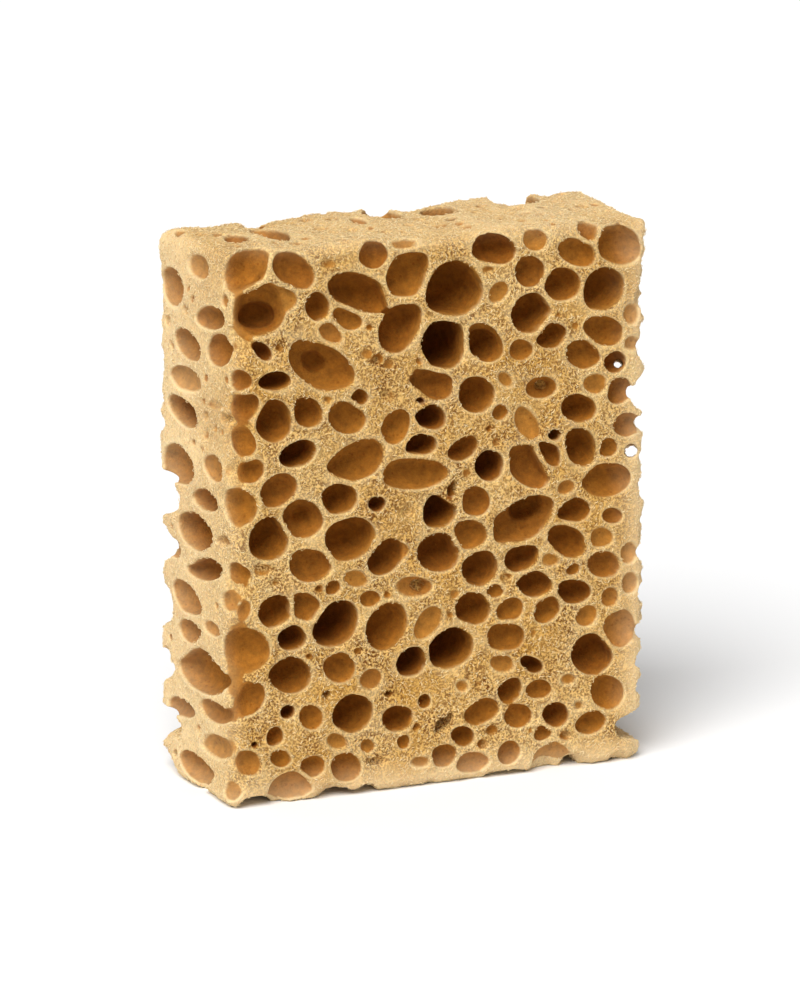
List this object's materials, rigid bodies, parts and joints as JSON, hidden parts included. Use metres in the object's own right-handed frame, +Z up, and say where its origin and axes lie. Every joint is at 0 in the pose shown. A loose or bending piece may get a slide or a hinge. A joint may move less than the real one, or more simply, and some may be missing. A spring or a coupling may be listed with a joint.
{
  "type": "sea sponge",
  "caption": "Upright cut block of natural honeycomb sea sponge, honey-tan, with round and oval pits over every face and ragged edges; it stands on its flat cut base.",
  "frame": {"origin": "middle of the block's footprint, on the surface that it stands on", "axes": "+Z up along the tall side; -Y out of the broad front face; +X to the right as that face is seen"},
  "size_m": [0.102, 0.0358, 0.1238],
  "materials": {
    "sponge": "dry fibrous sponge skeleton, matt, honey-tan, darker brown inside the pits"
  },
  "bodies": {
    "root": {"sponge": "sponge"}
  },
  "joints": []
}
